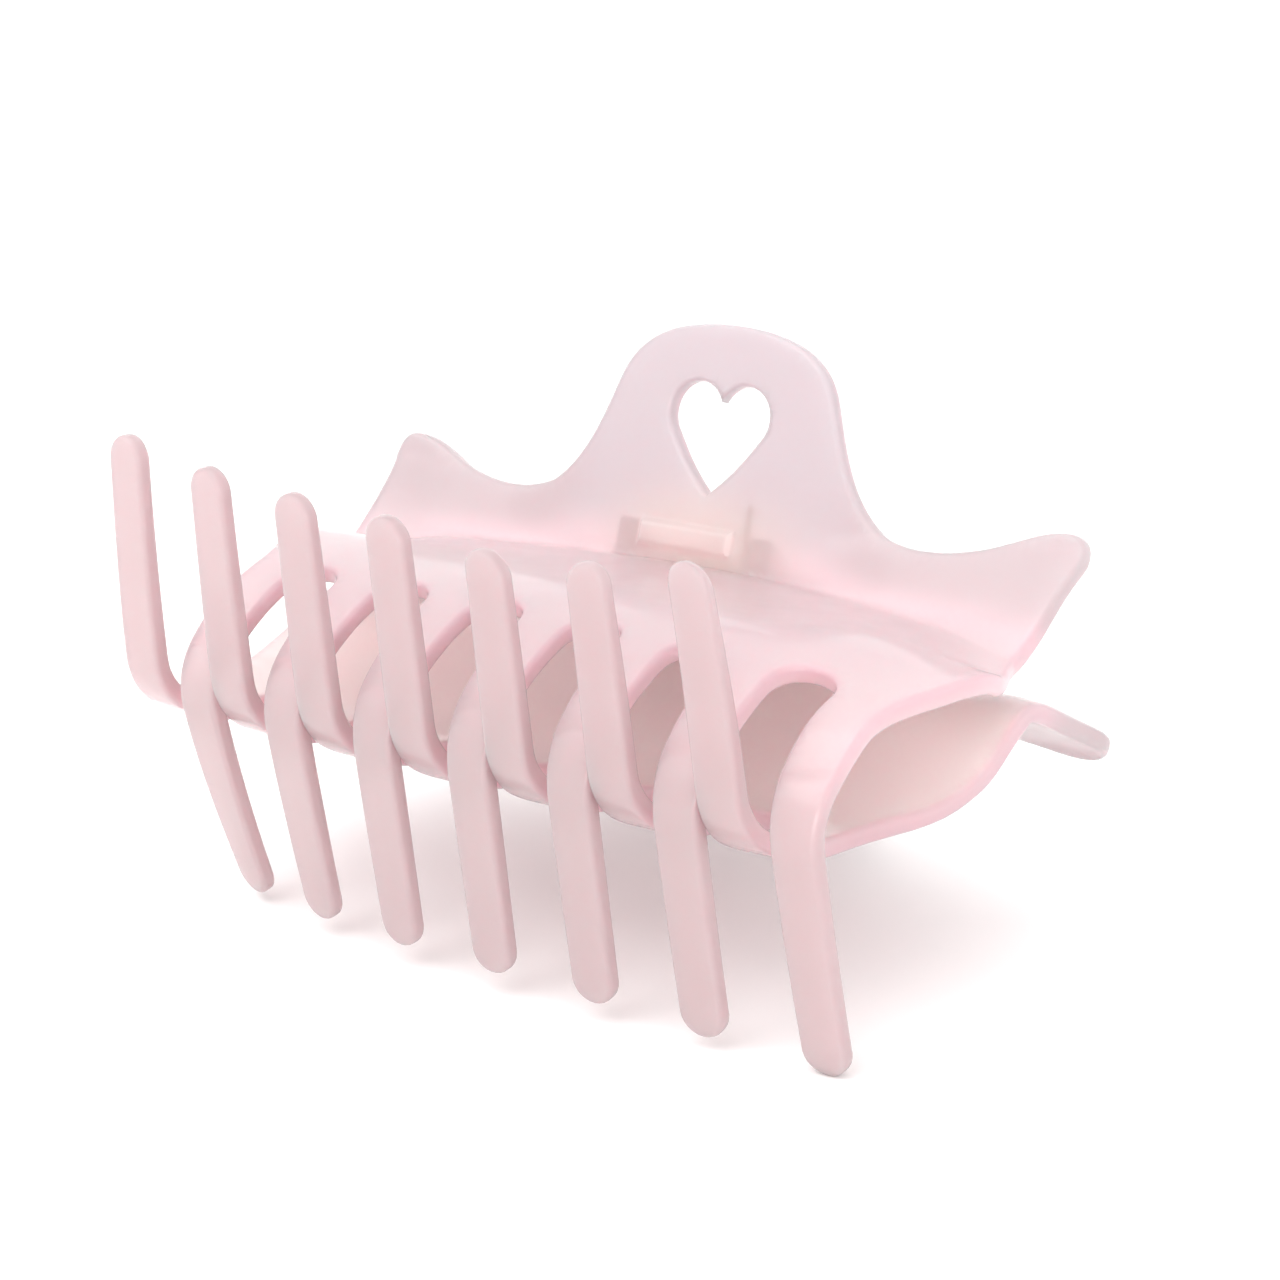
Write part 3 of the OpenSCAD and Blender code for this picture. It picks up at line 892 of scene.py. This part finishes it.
# name, place, size, power, colour
LIGHTS = (
    ("softbox", (-0.5, -0.6, 2.2), (2.4, 2.4), 21.0, (1.0, 0.99, 0.98)),
    ("front", (0.75, -1.1, 0.22), (0.9, 0.6), 7.5, (1.0, 0.955, 0.93)),
    ("key", (-0.3, -0.55, 0.6), (0.3, 0.3), 0.4, (1.0, 1.0, 1.0)),
)
CAMERA_AT = (0.217958, -0.260997, 0.152677)
CAMERA_LOOK, CAMERA_RIGHT = (-0.59666, 0.73044, -0.33236), (0.78698, 0.61362, -0.06422)
LENS, SENSOR = 84.661, 36.0


def add(name, data):
    obj = bpy.data.objects.new(name, data)
    bpy.context.scene.collection.objects.link(obj)
    return obj


def studio():
    low, high = (Vector(v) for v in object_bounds())
    h = FLOOR_HALF
    mesh = bpy.data.meshes.new("floor")
    mesh.from_pydata([(-h, -h, 0), (h, -h, 0), (h, h, 0), (-h, h, 0)], [], [(0, 1, 2, 3)])
    m, tree, bsdf = material("floor_white")
    set_inputs(bsdf, Base_Color=FLOOR_WHITE, Roughness=0.9, Specular_IOR_Level=0.1)
    mesh.materials.append(m)
    floor = add("floor", mesh)
    floor.location.z = low.z
    floor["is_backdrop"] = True

    world = bpy.data.worlds.new("studio")
    world.use_nodes = True
    set_inputs(world.node_tree.nodes["Background"], Color=(1, 1, 1, 1), Strength=WORLD)
    bpy.context.scene.world = world

    centre = (low + high) / 2
    for name, place, size, power, colour in LIGHTS:
        data = bpy.data.lights.new(name, "AREA")
        data.shape = "RECTANGLE"
        data.size, data.size_y = size
        data.energy = power
        data.color = colour
        light = add(name, data)
        light.location = place
        light.rotation_euler = (centre - light.location).to_track_quat("-Z", "Y").to_euler()


def photo_camera():
    data = bpy.data.cameras.new("camera")
    data.sensor_width = SENSOR
    data.lens = LENS
    data.clip_start, data.clip_end = 0.01, 20.0
    camera = add("camera", data)
    look = Vector(CAMERA_LOOK).normalized()
    right = Vector(CAMERA_RIGHT)
    right = (right - look * right.dot(look)).normalized()
    over = right.cross(look)
    place = Matrix((right, over, -look)).transposed().to_4x4()
    place.translation = Vector(CAMERA_AT)
    camera.matrix_world = place
    bpy.context.scene.camera = camera


studio()
bpy.context.scene.view_settings.view_transform = "Standard"
photo_camera()
